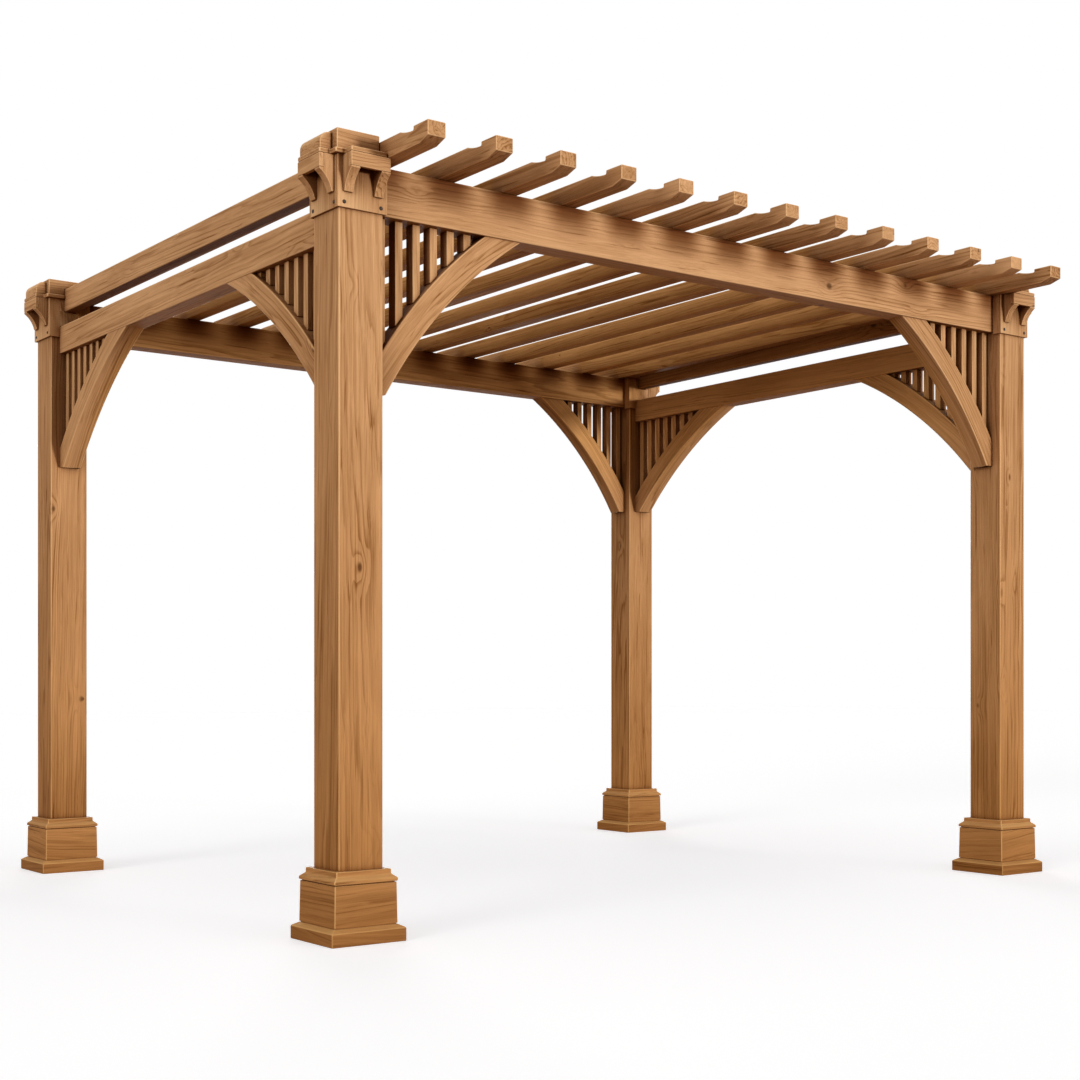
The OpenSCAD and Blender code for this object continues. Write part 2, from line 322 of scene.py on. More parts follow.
def timberFigure():
    # a place in a log: growth rings round the pith, swayed slowly and swollen round knots that grow
    # outwards, with soft streaks, a few dark veins and fine fibres along the log
    wood = timberLook
    inputs = [("Grain", "Vector", None), ("RingWidth", "Float", 0.012), ("KnotSize", "Float", 0.01)]
    tree, given, made = newGroup("timberFigure", inputs, [(label, "Float") for label in figureParts])
    slow = longNoise(tree, given["Grain"], **noises["sway"])["Color"]
    swing = vecCalc(tree, "SUBTRACT", slow, (0.5, 0.5, 0.5))
    bent = vecCalc(tree, "MULTIPLY_ADD", swing, (0.0, wood["sway"], wood["sway"]), given["Grain"])
    along, across, up = split(tree, bent)
    radius = lengthOf(tree, across, up)
    # knots: points of a cell pattern over (along, angle round the pith, radius), with none near the pith;
    # ways along the log and outwards count for less, which draws the knots out
    place = addNode(tree, "ShaderNodeCombineXYZ")
    angle = calc(tree, "ARCTAN2", up, across)
    for socket, value, cells in zip(place.inputs, (along, angle, radius),
                                    (wood["knotsAlong"], wood["knotsRound"], wood["knotsDeep"])):
        feed(tree, socket, times(tree, value, cells))
    knots = addNode(tree, "ShaderNodeTexVoronoi", feature="F1", voronoi_dimensions="3D")
    feed(tree, knots.inputs["Vector"], place.outputs[0])
    feed(tree, knots.inputs["Scale"], 1.0)
    away = split(tree, vecCalc(tree, "SUBTRACT", knots.outputs["Position"], place.outputs[0]))
    apart = lengthOf(tree, times(tree, away[0], wood["knotLong"] / wood["knotsAlong"]),
                     times(tree, away[1], 1 / wood["knotsRound"], radius),
                     times(tree, away[2], wood["knotDeep"] / wood["knotsDeep"]))
    chance = addNode(tree, "ShaderNodeSeparateColor")
    feed(tree, chance.inputs[0], knots.outputs["Color"])
    size = times(tree, ease(tree, chance.outputs[0], *wood["knotChance"]), given["KnotSize"],
                 ease(tree, radius, *wood["knotFromPith"]))
    core = times(tree, size, wood["knotCore"])
    outside = ease(tree, apart, core, calc(tree, "ADD", size, wood["knotEdge"]))
    feed(tree, made["Knot"], calc(tree, "SUBTRACT", 1.0, outside))
    around = calc(tree, "ADD", times(tree, size, wood["swellReach"]), wood["swellEdge"])
    reach = calc(tree, "DIVIDE", apart, around)
    near = calc(tree, "EXPONENT", times(tree, reach, reach, -1.0))
    swell = times(tree, near, size, wood["swell"])
    # rings: pale early wood, then a thin line of late wood that ends sharply, shown in patches
    uneven = longNoise(tree, bent, **noises["uneven"])[0]
    phase = calc(tree, "DIVIDE", calc(tree, "ADD", radius, swell), given["RingWidth"])
    part = calc(tree, "FRACT", calc(tree, "ADD", phase, times(tree, uneven, wood["uneven"])))
    late = times(tree, ease(tree, part, *wood["lateFrom"]), ease(tree, part, *wood["lateTo"], 1.0, 0.0))
    patch = longNoise(tree, given["Grain"], **noises["patch"])[0]
    shown = ease(tree, patch, *wood["patch"], wood["patchLeast"], 1.0)
    feed(tree, made["Rings"], times(tree, late, shown))
    feed(tree, made["Streak"], longNoise(tree, bent, **noises["streak"])[0])
    feed(tree, made["Vein"], ease(tree, longNoise(tree, bent, **noises["vein"])[0], *wood["vein"]))
    feed(tree, made["Fibre"], longNoise(tree, bent, **noises["fibre"])[0])
    feed(tree, made["Cloud"], longNoise(tree, given["Grain"], **noises["cloud"])[0])
    return tree


coat = dict(depth=0.3, fibre=0.8, cloud=0.8, knot=0.75, rubCloud=(0.3, 0.7), rubbed=(0.4, 0.85),
            shutFrom=0.1, lowEnd=0.1, lowShut=0.4, rough=0.5, fibreRough=0.16, rubbedSmooth=0.08,
            raised=dict(Fibre=0.6, Rings=0.3, Vein=-0.3, Knot=-0.3))


def stainCoat():
    # a brushed stain, deeper in late wood, streaks and veins and darkest in knots; pale on rubbed arrises
    # from wear and a painted highlight; painted shade in shut corners, under the rafters, towards the
    # ground and, warmer, under the roof
    inputs = [(label, "Float", 0.5) for label in figureParts]
    inputs += [("Arris", "Float", 0.0), ("Tint", "Float", 0.5), ("Open", "Float", 1.0),
               ("High", "Float", 1.0), ("Shade", "Float", 0.0), ("Shelter", "Float", 0.0),
               ("Pale", "Color", (0.6, 0.3, 0.12, 1)), ("Deep", "Color", (0.25, 0.1, 0.03, 1)),
               ("KnotColour", "Color", (0.1, 0.035, 0.01, 1)), ("Rubbed", "Color", (0.7, 0.4, 0.2, 1)),
               ("Damp", "Color", (0.74, 0.59, 0.36, 1)), ("Glaze", "Color", (0.40, 0.27, 0.16, 1)),
               ("Amber", "Color", (0.96, 0.89, 0.68, 1)), ("RingDepth", "Float", 0.3),
               ("StreakDepth", "Float", 1.0), ("VeinDepth", "Float", 0.3), ("Spread", "Float", 0.2),
               ("Soot", "Float", 0.5)]
    tree, given, made = newGroup("stainCoat", inputs,
                                 [("Colour", "Color"), ("Roughness", "Float"), ("Height", "Float")])

    def share(label, weight):
        return times(tree, calc(tree, "SUBTRACT", given[label], 0.5), weight)

    depth = total(tree, coat["depth"], times(tree, given["Rings"], given["RingDepth"]),
                  share("Streak", given["StreakDepth"]), times(tree, given["Vein"], given["VeinDepth"]),
                  share("Fibre", coat["fibre"]), share("Cloud", coat["cloud"]),
                  share("Tint", given["Spread"]))
    colour = mixColour(tree, clamp(tree, depth), given["Pale"], given["Deep"])
    colour = mixColour(tree, times(tree, given["Knot"], coat["knot"]), colour, given["KnotColour"])
    # rubbed arrises are paler: partly wear, partly a painted highlight
    rub = times(tree, given["Arris"], ease(tree, given["Cloud"], *coat["rubCloud"], *coat["rubbed"]))
    colour = mixColour(tree, rub, colour, given["Rubbed"])
    # painted shade: the colour darkens towards the ground
    damp = mixColour(tree, given["High"], given["Damp"], white)
    # painted shade: warmer and darker between the beams under the roof
    amber = mixColour(tree, given["Shelter"], white, given["Amber"])
    colour = vecCalc(tree, "MULTIPLY", vecCalc(tree, "MULTIPLY", colour, damp), amber)
    # painted shade: ambient occlusion darkens shut corners and places between members, less near the
    # ground
    shut = times(tree, ease(tree, given["Open"], coat["shutFrom"], 1.0, 1.0, 0.0), given["Soot"],
                 ease(tree, given["High"], 0.0, coat["lowEnd"], coat["lowShut"], 1.0))
    # the corner shade or the painted shadow under the rafters, whichever is stronger, darkens the colour
    # twice through the shade colour
    veil = mixColour(tree, calc(tree, "MAXIMUM", shut, given["Shade"]), white, given["Glaze"])
    glazed = vecCalc(tree, "MULTIPLY", colour, vecCalc(tree, "MULTIPLY", veil, veil))
    feed(tree, made["Colour"], glazed)
    rough = calc(tree, "ADD", coat["rough"], times(tree, given["Fibre"], coat["fibreRough"]))
    feed(tree, made["Roughness"], calc(tree, "SUBTRACT", rough, times(tree, rub, coat["rubbedSmooth"])))
    raised = [times(tree, given[label], weight) for label, weight in coat["raised"].items()]
    feed(tree, made["Height"], total(tree, *raised))
    return tree


figureGroup = timberFigure()
stainGroup = stainCoat()

crossing = dict(aside=(0.025, 0.13), below=(-0.01, 0.125))
shelter = dict(rise=(1.5, 2.0), inner=0.01, outer=0.02)


def underRafters(tree, place):
    # painted shadow mask: 1 where a rafter crosses the top of a long beam, fading out sideways and
    # downwards
    first, second = (np.mean(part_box(n), 0)[0] for n in ("rafter_01", "rafter_02"))
    pitch, top = second - first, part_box("rafter_01")[0][2]
    count = calc(tree, "ADD", calc(tree, "DIVIDE", place[0], pitch), 0.5 - first / pitch)
    phase = calc(tree, "FRACT", count)
    aside = times(tree, calc(tree, "ABSOLUTE", calc(tree, "SUBTRACT", phase, 0.5)), pitch)
    below = calc(tree, "SUBTRACT", top, place[2])
    return times(tree, ease(tree, aside, *crossing["aside"], 1.0, 0.0),
                 ease(tree, below, *crossing["below"], 1.0, 0.0))


def underRoof(tree, place):
    # painted shade mask: 1 between the four beams, fading out through their thickness and downwards
    within = ease(tree, place[2], *shelter["rise"])
    for way, (axis, name) in zip(place[:2], enumerate(("right_beam", "rear_beam"))):
        inner, outer = np.sort(np.abs(np.array(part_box(name))[:, axis]))
        aside = calc(tree, "ABSOLUTE", way)
        edge = ease(tree, aside, inner + shelter["inner"], outer - shelter["outer"], 1.0, 0.0)
        within = times(tree, within, edge)
    return within


# besides colours and figure, these settings set painted shade: in corners, under the rafters and towards
# the ground
stainLook = dict(pale=(0.62, 0.353, 0.172, 1), deep=(0.22, 0.089, 0.022, 1), knot=(0.07, 0.022, 0.005, 1),
                 rubbed=(0.82, 0.52, 0.27, 1), ringWidth=0.013, knotSize=0.009, ringDepth=0.42,
                 streakDepth=1.0, veinDepth=0.45, spread=0.22, soot=0.9, shade=0.0, relief=0.35,
                 reliefDeep=0.0012, cornerReach=0.2, cornerSamples=5, dampReach=2.2, specular=0.03)


def timberMaterial(name, **changes):
    look = {**stainLook, **changes}
    material = bpy.data.materials.new(name)
    material.use_nodes = True
    tree = material.node_tree
    shader = tree.nodes["Principled BSDF"]
    grain, tint, arris = (addNode(tree, "ShaderNodeAttribute", attribute_name=label).outputs
                          for label in ("grain", "tint", "arris"))
    # painted shade: ambient occlusion within this reach finds shut corners and places between members
    corner = addNode(tree, "ShaderNodeAmbientOcclusion", samples=look["cornerSamples"])
    corner.inputs["Distance"].default_value = look["cornerReach"]
    place = split(tree, addNode(tree, "ShaderNodeTexCoord").outputs["Object"])
    # painted shade: height as a share of this reach sets how dark the colour is towards the ground
    high = clamp(tree, calc(tree, "DIVIDE", place[2], look["dampReach"]))
    # painted shadow under each rafter that crosses a long beam
    shade = times(tree, underRafters(tree, place), look["shade"]) if look["shade"] else 0.0
    figure = useGroup(tree, figureGroup, Grain=grain["Vector"], RingWidth=look["ringWidth"],
                      KnotSize=look["knotSize"])
    stain = useGroup(tree, stainGroup, Arris=arris["Fac"], Tint=tint["Fac"], Open=corner.outputs["AO"],
                     High=high, Shade=shade, Shelter=underRoof(tree, place), Pale=look["pale"],
                     Deep=look["deep"], KnotColour=look["knot"], Rubbed=look["rubbed"],
                     RingDepth=look["ringDepth"], StreakDepth=look["streakDepth"],
                     VeinDepth=look["veinDepth"], Spread=look["spread"], Soot=look["soot"],
                     **{label: figure[label] for label in figureParts})
    feed(tree, shader.inputs["Base Color"], stain["Colour"])
    feed(tree, shader.inputs["Roughness"], stain["Roughness"])
    bump = addNode(tree, "ShaderNodeBump")
    feed(tree, bump.inputs["Height"], stain["Height"])
    bump.inputs["Strength"].default_value = look["relief"]
    bump.inputs["Distance"].default_value = look["reliefDeep"]
    feed(tree, shader.inputs["Normal"], bump.outputs[0])
    shader.inputs["Specular IOR Level"].default_value = look["specular"]
    return material


steel = dict(dark=(0.020, 0.015, 0.012, 1), dulled=(0.06, 0.045, 0.034, 1), grain=900.0,
             mottle=(0.35, 0.65), rough=0.42, dulledRough=0.2, metallic=0.6)


def boltMaterial():
    # dark coated steel, mottled where the coat has dulled
    material = bpy.data.materials.new("boltSteel")
    material.use_nodes = True
    tree = material.node_tree
    shader = tree.nodes["Principled BSDF"]
    place = addNode(tree, "ShaderNodeTexCoord").outputs["Object"]
    mottle = ease(tree, longNoise(tree, place, (steel["grain"],) * 3)[0], *steel["mottle"])
    feed(tree, shader.inputs["Base Color"], mixColour(tree, mottle, steel["dark"], steel["dulled"]))
    rough = calc(tree, "ADD", steel["rough"], times(tree, mottle, steel["dulledRough"]))
    feed(tree, shader.inputs["Roughness"], rough)
    shader.inputs["Metallic"].default_value = steel["metallic"]
    return material


woods = {
    "post_wood": timberMaterial("postStain"),
    "trim_wood": timberMaterial("trimStain", ringWidth=0.010, knotSize=0.007, spread=0.3),
    "beam_wood": timberMaterial("beamStain", ringWidth=0.014, knotSize=0.011),
    "brace_wood": timberMaterial("braceStain", ringWidth=0.011, knotSize=0.007),
    "slat_wood": timberMaterial("slatStain", ringWidth=0.008, knotSize=0.004),
    "rafter_wood": timberMaterial("rafterStain", ringWidth=0.012, knotSize=0.005, spread=0.34),
}
# the bases' rubbed arrises and upper faces take a strong painted highlight
baseStain = timberMaterial("baseStain", pale=(0.67, 0.39, 0.200, 1), deep=(0.25, 0.110, 0.036, 1),
                           rubbed=(1.0, 0.74, 0.46, 1), ringWidth=0.016, knotSize=0.008, ringDepth=0.45,
                           streakDepth=1.0, spread=0.2)
# the front and rear beams take a painted shadow under each rafter
longStain = timberMaterial("longBeamStain", ringWidth=0.014, knotSize=0.011, shade=0.95)
boltSteel = boltMaterial()
print("stains mixed")


# Posts

posts = dict(rim=0.004)
postBox = {corner: np.array(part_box("post_" + corner)) for corner in corners}
postHalf = np.ptp(postBox["front_left"], 0)[0] / 2
postTop = postBox["front_left"][1][2]


def cornerFrame(corner):
    # where a corner stands, and the axes along which it is drawn with its outer sides facing -X and -Y
    middle = postBox[corner].mean(0) * (1, 1, 0)
    return middle, np.diag([-corners[corner][0], -corners[corner][1], 1.0])


for corner in corners:
    middle = cornerFrame(corner)[0]
    shell = plankShell(rectOutline(2 * postHalf, 2 * postHalf), 0, postTop, posts["rim"])
    board = placeBoard(shell, np.eye(3), middle, [2, 0, 1])
    joinBoards("post_" + corner + "_timber", [board], woods["post_wood"], ["post_" + corner])
print("posts stand")


# Bases

bases = dict(plinthFace=0.040, bevel=0.010, dieHalf=0.107, dieTopHalf=0.105, dieHeight=0.124,
             grooveDeep=0.004, groove=0.003, footDeep=0.003, lipHalf=0.108, lip=0.007, ogee=0.017,
             ogeePoints=13, neckHalf=0.093, cornerR=0.004, plinthR=0.005, lipR=0.003, edgeR=0.0022,
             grooveR=0.0006, bleach=0.7, mitreFace=0.5, cutLow=(3, -0.12, -0.35), cutHigh=(90, 0.02, 0.05),
             lean=0.16)


def baseProfile(plinthHalf, top):
    # half widths and heights from the ground up and closed down the post's face, with a radius for each
    # point, and the heights where one tier of boards ends and the next begins
    base = bases
    heights = np.cumsum([base[label] for label in ("plinthFace", "bevel", "dieHeight", "groove", "lip")])
    faceTop, bevelTop, dieTop, grooveTop, lipTop = heights
    die, drawnDie, lip, neck = (base[label] for label in ("dieHalf", "dieTopHalf", "lipHalf", "neckHalf"))
    sunk = drawnDie - base["grooveDeep"]
    # the ogee draws in from lip to neck by 3 t^2 - 2 t^3 while it climbs evenly
    t = np.linspace(0, 1, base["ogeePoints"])
    drawn = lip + (neck - lip) * (3 * t ** 2 - 2 * t ** 3)
    ogee = np.stack([drawn, lipTop + base["ogee"] * t, np.full_like(t, base["grooveR"])], 1)
    foot, footTop = die - base["footDeep"], bevelTop + base["groove"]
    fine, edge = base["grooveR"], base["edgeR"]
    rows = [(postHalf, 0, fine), (plinthHalf, 0, edge), (plinthHalf, faceTop, base["plinthR"]),
            (die, bevelTop, fine), (foot, bevelTop, fine), (foot, footTop, fine), (die, footTop, fine),
            (drawnDie, dieTop, edge), (sunk, dieTop, fine), (sunk, grooveTop, fine),
            (lip, grooveTop, base["lipR"]), *ogee, (neck, top, edge), (postHalf, top, fine)]
    points, radii = np.split(np.array(rows), [2], 1)
    return points, radii[:, 0], np.array([bevelTop, dieTop]) + base["groove"] / 2


def mouldedRing(points, radii, tiers, steps=4):
    # each profile point (half width d, height z) goes round a square of half width d with rounded corners
    points, outward, arris = easeOutline(points, radii)
    # painted highlight: faces that look up are paler, as if lit from above
    arris = np.maximum(arris, bases["bleach"] * np.clip(outward[:, 1], 0, 1))  # what faces up is paler
    turn = (np.arange(4)[:, None] * np.pi / 2 + np.linspace(0, np.pi / 2, steps + 1)).ravel()
    spoke = np.stack([np.cos(turn), np.sin(turn)], 1)
    corner = np.repeat([(1, 1), (-1, 1), (-1, -1), (1, -1)], steps + 1, 0)
    rows, count = len(points), len(turn)
    verts = np.empty((rows, count, 3))
    verts[..., :2] = (points[:, 0] - bases["cornerR"])[:, None, None] * corner + bases["cornerR"] * spoke
    verts[..., 2] = points[:, 1:]
    normals = np.empty_like(verts)
    normals[..., :2] = outward[:, :1, None] * spoke
    normals[..., 2] = outward[:, 1:]
    # the moulding's corner arrises are rubbed too: wear and a painted highlight
    mitre = np.abs(np.sin(2 * turn)) * (outward[:, :1] > bases["mitreFace"])
    i, j = np.meshgrid(np.arange(rows), np.arange(count), indexing="ij")
    above, beside = (i + 1) % rows * count, (j + 1) % count
    quads = np.stack([i * count + j, i * count + beside, above + beside, above + j], -1).reshape(-1, 4)
    # the four sides of each tier are boards of their own, mitred at the corners, with the grain lying flat
    side = (j // (steps + 1) + (j % (steps + 1) >= steps // 2)).ravel() % 4
    place = verts.reshape(-1, 3)[quads]
    tier = np.searchsorted(tiers, place[..., 2].mean(1))
    board = side * (len(tiers) + 1) + tier
    facing = np.stack([np.cos(side * np.pi / 2), np.sin(side * np.pi / 2)], 1)[:, None]
    along = (place[..., :2] * facing[..., ::-1] * (-1, 1)).sum(-1)
    across = (place[..., :2] * facing).sum(-1)
    boards = 4 * (len(tiers) + 1)
    shift = rng.uniform(bases["cutLow"], bases["cutHigh"], (boards, 3))
    lean = rng.uniform(-bases["lean"], bases["lean"], boards)[board][:, None]
    grain = np.stack([along, across, place[..., 2] + lean * along], -1) + shift[board][:, None]
    return dict(verts=verts.reshape(-1, 3), normals=normals.reshape(-1, 3), quads=quads, caps=[],
                arris=np.maximum(arris[:, None], mitre).ravel(), grain=grain.reshape(-1, 3),
                tint=np.repeat(rng.random(boards)[board], 4))


for corner in corners:
    middle = cornerFrame(corner)[0]
    low, high = np.array(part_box("base_" + corner))
    ring = mouldedRing(*baseProfile((high[0] - low[0]) / 2, high[2]))
    ring["verts"] = ring["verts"] + middle
    joinBoards("base_" + corner + "_moulding", [ring], baseStain, ["base_" + corner])
print("bases moulded")


# Beams and rails

beams = dict(rim=0.004)
beamBox = {name: np.array(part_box(name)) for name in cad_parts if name.endswith(("_beam", "_rail"))}
for name, (low, high) in beamBox.items():
    size = high - low
    ways = [1, 2, 0] if size[0] > size[1] else [2, 0, 1]  # the longest way comes last
    wide, tall, length = size[ways]
    shell = plankShell(rectOutline(wide, tall), -length / 2, length / 2, beams["rim"])
    board = placeBoard(shell, np.eye(3)[ways], (low + high) / 2, [2, 0, 1])
    stain = longStain if name in ("front_beam", "rear_beam") else woods["beam_wood"]
    joinBoards(name + "_timber", [board], stain, [name])
beamTop, longUnder = beamBox["front_beam"][1][2], beamBox["front_beam"][0][2]
shortUnder, shortTop = beamBox["left_beam"][:, 2]
railUnder, railTop = beamBox["left_rail"][:, 2]
longThick = np.ptp(beamBox["front_beam"], 0)[1]
shortThick, railThick = (np.ptp(beamBox[name], 0)[0] for name in ("left_beam", "left_rail"))
print("beams and rails laid")


# Capitals

capital = dict(gap=0.001, collarRim=0.0015, shelf=0.014, shelfRim=0.004, shelfProud=0.014, block=0.176,
               blockRim=0.003, seam=0.0001, noseWide=0.132, noseR=0.030, noseDrop=0.010, noseBack=0.005,
               noseRim=0.003, noseSteps=6, corbelWide=0.030, corbelTall=0.108, corbelTip=0.009,
               corbelR=0.095, corbelPoints=9, corbelLip=0.005, corbelRim=0.002, fasciaTall=0.042,
               fasciaThick=0.016, fasciaRim=0.0025)


def collarBoards(middle, axes, collarHalf, low):
    # a full board on the front and its opposite, narrower ones between them, let out for beams and rail
    gap, inner = capital["gap"], postHalf
    longSide, shortSide, railSide = (thick / 2 + gap for thick in (longThick, shortThick, railThick))

    def upright(start, end, z0, z1, along, out):
        # a board on the post's side that faces out, from start to end along it
        outline = rectOutline(end - start, z1 - z0, ((start + end) / 2, (z0 + z1) / 2))
        shell = plankShell(outline, 0, collarHalf - inner, capital["collarRim"], steps=2)
        plane, seat = np.array([along, zAxis, out]) @ axes, middle + out * inner @ axes
        return placeBoard(shell, plane, seat, [1, 0, 2])

    boards = [upright(-collarHalf, collarHalf, low, beamTop, xAxis, -yAxis),
              upright(-inner, inner, low, beamTop, yAxis, -xAxis),
              upright(-shortSide, shortSide, shortTop + gap, railUnder - gap, xAxis, yAxis)]
    for s in (-1, 1):
        outer, above, side = (sorted((s * near, s * far)) for near, far in (
            (shortSide, collarHalf), (railSide, shortSide), (longSide, inner)))
        boards += [upright(*outer, low, beamTop, xAxis, yAxis),
                   upright(*above, railUnder - gap, beamTop, xAxis, yAxis),
                   upright(*side, low, beamTop, yAxis, xAxis)]
    return boards


def bracketBoards(middle, turn, collarHalf, reach):
    # two corbels with hollow fronts carry a fascia; outwards is -a, up is b, and c runs along the face
    cap = capital
    top, behind, foot = -cap["fasciaTall"], cap["fasciaThick"] - reach, -cap["corbelTall"]
    front = arcPoints((-reach, top - cap["corbelLip"]), (-cap["corbelTip"], foot), cap["corbelR"],
                      cap["corbelPoints"])
    outline = [*front, (0, foot), (0, 0), (behind, 0), (behind, top), (-reach, top)]
    plane = np.array([turn[0], turn[2], -turn[1]])
    seat = middle - collarHalf * turn[0] + beamTop * zAxis
    wide, thick = cap["noseWide"] / 2, cap["corbelWide"]
    boards = []
    for start in (-wide, wide - thick):
        shell = plankShell(outline, start, start + thick, cap["corbelRim"], steps=2)
        boards.append(placeBoard(shell, plane, seat, [1, 0, 2]))
    fascia = rectOutline(cap["fasciaThick"], cap["fasciaTall"], (behind - cap["fasciaThick"] / 2, top / 2))
    shell = plankShell(fascia, -wide, wide, cap["fasciaRim"], steps=2)
    boards.append(placeBoard(shell, plane, seat, [2, 0, 1]))
    return boards


def capBoards(middle, axes, collarHalf, reach, inner, capTop):
    # a shelf that runs out over both brackets, the block on it, and a nose over the side bracket; shelf
    # and block are let out for the rail's end
    cap = capital
    half, tip = collarHalf + cap["shelfProud"], collarHalf + reach
    block, wide = cap["block"] / 2, cap["noseWide"] / 2
    rail = railThick / 2 + cap["gap"]
    shelfTop = beamTop + cap["shelf"]
    pocket = [(rail, postHalf), (-rail, postHalf)]
    plan = [(-half, -half), (-wide, -half), (-wide, -tip), (inner, -tip), (inner, half), (rail, half),
            *pocket, (-rail, half), (-half, half), (-half, wide), (-tip, wide), (-tip, -wide),
            (-half, -wide)]
    boards = [placeBoard(plankShell(plan, beamTop, shelfTop, cap["shelfRim"]), axes, middle, [0, 1, 2])]
    whole = [(-block, -block), (inner, -block), (inner, block), (-block, block)]
    notched = [*whole[:3], (rail, block), *pocket, (-rail, block), whole[3]]
    cut, over = cutFrom(), railTop + cap["gap"]
    lower = plankShell(notched, shelfTop, over, cap["seam"], cap["blockRim"])
    upper = plankShell(whole, over, capTop, cap["blockRim"], rimLow=cap["seam"])
    boards += [placeBoard(shell, axes, middle, [0, 1, 2], cut) for shell in (lower, upper)]
    boards[-1]["tint"][:] = boards[-2]["tint"][0]
    noseTop, front, side = capTop - cap["noseDrop"], tip - cap["noseBack"], wide - cap["noseBack"]
    nose = rectOutline(front - block, noseTop - shelfTop, (-(front + block) / 2, (noseTop + shelfTop) / 2))
    radii = [cap["noseRim"], cap["seam"], cap["seam"], cap["noseR"]]
    shell = plankShell(nose, -side, side, cap["noseRim"], radii, steps=cap["noseSteps"])
    boards.append(placeBoard(shell, np.array([axes[0], axes[2], -axes[1]]), middle, [0, 1, 2]))
    return boards


for corner in corners:
    middle, axes = cornerFrame(corner)
    low, high = np.array(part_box("collar_" + corner))
    collarHalf = (high[0] - low[0]) / 2
    capLow, capHigh = (np.array(end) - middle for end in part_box("cap_" + corner))
    tip, inner = np.sort(np.abs([capLow[0], capHigh[0]]))[::-1]
    reach = tip - collarHalf
    boards = collarBoards(middle, axes, collarHalf, low[2])
    name = "collar_" + corner
    joinBoards(name + "_boards", boards, woods["trim_wood"], [name])
    boards = bracketBoards(middle, axes, collarHalf, reach)
    boards += bracketBoards(middle, axes[[1, 0, 2]], collarHalf, reach)
    name = "brackets_" + corner
    joinBoards(name + "_carving", boards, woods["trim_wood"], [name])
    boards = capBoards(middle, axes, collarHalf, reach, inner, capHigh[2])
    name = "cap_" + corner
    joinBoards(name + "_block", boards, woods["trim_wood"], [name])
print("capitals set")


# Knee braces and slats

braces = dict(foot=0.034, band=0.080, rise=0.042, rim=0.005, steps=40)
slats = dict(wide=0.027, deep=0.038, pitch=0.062, first=0.014, rim=0.002)


def braceArc(reach, drop):
    # centre and radius of the arc from the foot (foot, -drop) to the head (reach, 0), measured from the
    # corner of post and beam
    way = np.array([reach - braces["foot"], drop])
    chord = np.linalg.norm(way)
    radius = chord ** 2 / (8 * braces["rise"]) + braces["rise"] / 2
    middle = np.array([reach + braces["foot"], -drop]) / 2
    return middle + np.array([way[1], -way[0]]) / chord * (radius - braces["rise"]), radius


def braceShell(reach, drop, thick):
    # a rounded section (out from the arc, across) swept along the arc; each of its points starts on the
    # foot's flat cut or on the post, whichever comes first, and ends under the beam
    centre, radius = braceArc(reach, drop)
    kink = np.hypot(centre[0], drop + centre[1]) - radius
    half, band = thick / 2, braces["band"]
    outline = [(0, -half), (kink, -half), (band, -half), (band, half), (kink, half), (0, half)]
    points, outward, arris = easeOutline(outline, braces["rim"])
    ring = radius + points[:, 0]
    head = np.pi - np.arcsin(-centre[1] / ring)
    cut = np.pi - np.arcsin((-drop - centre[1]) / ring)
    foot = np.minimum(cut, np.arccos(np.clip(-centre[0] / ring, -1, 1)))
    angle = foot + (head - foot) * np.linspace(0, 1, braces["steps"] + 1)[:, None]
    way = np.stack([np.cos(angle), np.sin(angle)], -1)
    count = len(points)
    verts = np.empty((*angle.shape, 3))
    verts[..., :2] = centre + ring[:, None] * way
    verts[..., 2] = points[:, 1]
    normals = np.empty_like(verts)
    normals[..., :2] = outward[:, :1] * way
    normals[..., 2] = outward[:, 1]
    grain = np.empty_like(verts)
    grain[..., 0] = -radius * angle
    grain[..., 1:] = points
    first, last = np.arange(count), np.arange(count) + braces["steps"] * count
    return dict(verts=verts.reshape(-1, 3), normals=normals.reshape(-1, 3), grain=grain.reshape(-1, 3),
                arris=np.broadcast_to(arris, angle.shape).ravel(),
                quads=ringQuads(braces["steps"] + 1, count), caps=[first[::-1], last])


def slatShells(reach, drop):
    # upright slats from the beam down to the back of the brace's band
    centre, radius = braceArc(reach, drop)
    back = radius + braces["band"]
    last = centre[0] - math.sqrt(back ** 2 - centre[1] ** 2) - slats["wide"]
    for start in np.arange(slats["first"], last, slats["pitch"]):
        sides = np.array([start, start + slats["wide"]])
        foot = centre[1] + np.sqrt(back ** 2 - (sides - centre[0]) ** 2)
        outline = [(sides[0], foot[0]), (sides[1], foot[1]), (sides[1], 0), (sides[0], 0)]
        yield plankShell(outline, -slats["deep"] / 2, slats["deep"] / 2, slats["rim"], steps=2)


for corner in corners:
    middle, axes = cornerFrame(corner)
    ends = (np.array(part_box("braces_" + corner)) - middle) @ axes
    footZ = ends[:, 2].min()
    reaches = ends.max(0)[:2] - postHalf
    thick = -2 * ends.min(0)[0]
    braceBoards, slatBoards = [], []
    sides = ((xAxis, -yAxis, reaches[0], longUnder), (yAxis, xAxis, reaches[1], shortUnder))
    for along, over, reach, under in sides:
        if reach < 0:  # no brace on this side of the corner
            continue
        plane = np.array([along, zAxis, over]) @ axes
        seat = middle + along * postHalf @ axes + zAxis * under
        drop = under - footZ
        braceBoards.append(placeBoard(braceShell(reach, drop, thick), plane, seat, [1, 0, 2]))
        slatBoards += [placeBoard(shell, plane, seat, [1, 0, 2]) for shell in slatShells(reach, drop)]
    name = "braces_" + corner
    joinBoards(name + "_timber", braceBoards, woods["brace_wood"], [name])
    name = "slats_" + corner
    joinBoards(name + "_timber", slatBoards, woods["slat_wood"], [name])
print("braces and slats fitted")


# Rafters

rafters = dict(rim=0.0035, endTall=0.044, cut=0.046, block=0.078, hollow=0.072, hollowPoints=9, step=0.012)


